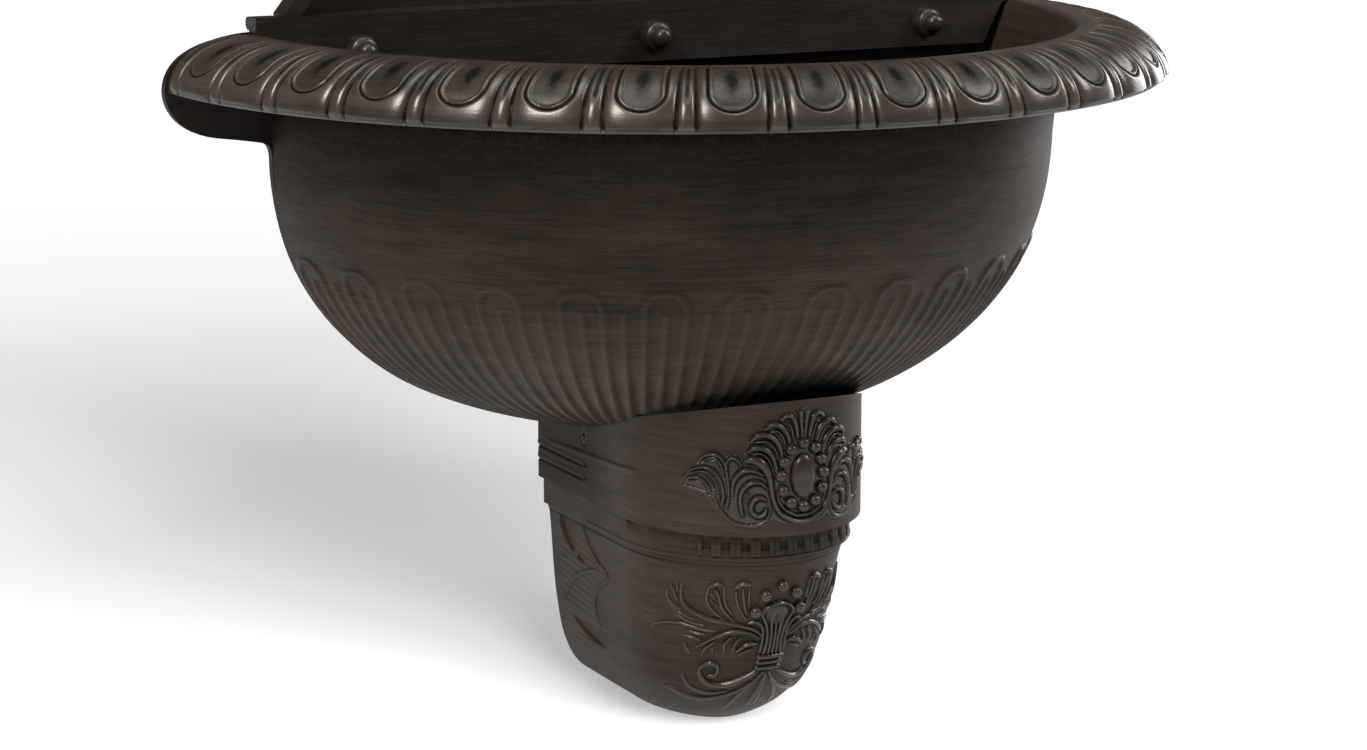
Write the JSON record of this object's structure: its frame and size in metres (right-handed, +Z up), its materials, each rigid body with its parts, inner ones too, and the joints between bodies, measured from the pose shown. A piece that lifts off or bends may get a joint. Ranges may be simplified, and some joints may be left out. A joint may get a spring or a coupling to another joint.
{
  "type": "wall fountain",
  "caption": "Wall-hung garden fountain: half-round basin with an egg moulding on a tapering corbel, arched panel, bent spout, and a small pump with its hose.",
  "frame": {"origin": "on the wall, on the centre line, level with the lower edge of the basin's rim", "axes": "+Y into the wall, -Y out to the viewer, +X to the right along the wall, +Z up"},
  "size_m": [0.604, 0.3533, 1.0155],
  "materials": {
    "antique_casting": "dark reddish-brown satin paint, dry-brushed in horizontal streaks, over cast aluminium",
    "cast_ornament": "the same brown with rubbed, silvery high spots",
    "dark_fastener": "brown gloss paint over steel",
    "plated_steel": "zinc-plated, dull",
    "rivet_alloy": "dull",
    "aged_brass": "dark aged brass, satin",
    "clear_hose": "smooth black flexible tube",
    "black_plastic": "fine grain",
    "grey_plastic": "fine grain",
    "black_rubber": "soft matt",
    "filter_foam": "open-cell foam",
    "ferrite": "moulded round a ferrite magnet",
    "motor_core": "potted laminations and winding"
  },
  "bodies": {
    "fountain": {"acorn_nuts": "dark_fastener", "back_panel": "antique_casting", "basin_back_plate": "antique_casting", "basin_bowl": "antique_casting", "basin_rim": "antique_casting", "bulkhead_elbow": "aged_brass", "bulkhead_nut": "aged_brass", "bulkhead_seal": "black_rubber", "cartouche_ornament": "cast_ornament", "corbel_bar_screws": "plated_steel", "corbel_collar": "antique_casting", "corbel_drop": "antique_casting", "corbel_side_screws": "dark_fastener", "corbel_wall_bar": "plated_steel", "drain_body": "aged_brass", "drain_nut": "aged_brass", "drain_seal": "black_rubber", "hook_rivets": "rivet_alloy", "hose_clamps": "plated_steel", "hose_clips": "black_plastic", "lead_gland": "black_plastic", "lead_gland_cap": "black_plastic", "lead_gland_nut": "black_plastic", "lead_gland_seal": "black_rubber", "lily_ornament": "cast_ornament", "panel_crest": "cast_ornament", "panel_hook": "plated_steel", "pump_cover": "black_plastic", "pump_feet": "black_rubber", "pump_filter": "filter_foam", "pump_housing": "black_plastic", "pump_lead_gland": "black_plastic", "pump_nozzle": "black_plastic", "pump_shaft": "plated_steel", "pump_stator": "motor_core", "rail_studs": "plated_steel", "rail_weld_nuts": "plated_steel", "spout_elbow": "aged_brass", "spout_locknut": "aged_brass", "spout_pipe": "aged_brass", "spout_rosette": "cast_ornament", "stud_washers": "dark_fastener", "supply_hose_lower": "clear_hose", "supply_hose_upper": "clear_hose", "volute_cover": "black_plastic", "wall_clip": "plated_steel", "wall_rail": "plated_steel"},
    "impeller": {"impeller_rotor": "ferrite"},
    "flow_dial": {"pump_flow_dial": "grey_plastic"},
    "drain_plug": {"drain_plug": "black_rubber"}
  },
  "joints": [
    {"name": "impeller_spin", "type": "hinge", "parent": "fountain", "child": "impeller", "pos_m": [-0.017, -0.092, -0.164], "axis": [0, 1, 0], "continuous": true},
    {"name": "flow_dial_turn", "type": "hinge", "parent": "fountain", "child": "flow_dial", "pos_m": [-0.017, -0.124, -0.164], "axis": [0, 1, 0], "range_deg": [0, 36]},
    {"name": "drain_plug_lift", "type": "slide", "parent": "fountain", "child": "drain_plug", "axis": [0, 0, 1], "range_m": [0, 0.06]}
  ]
}
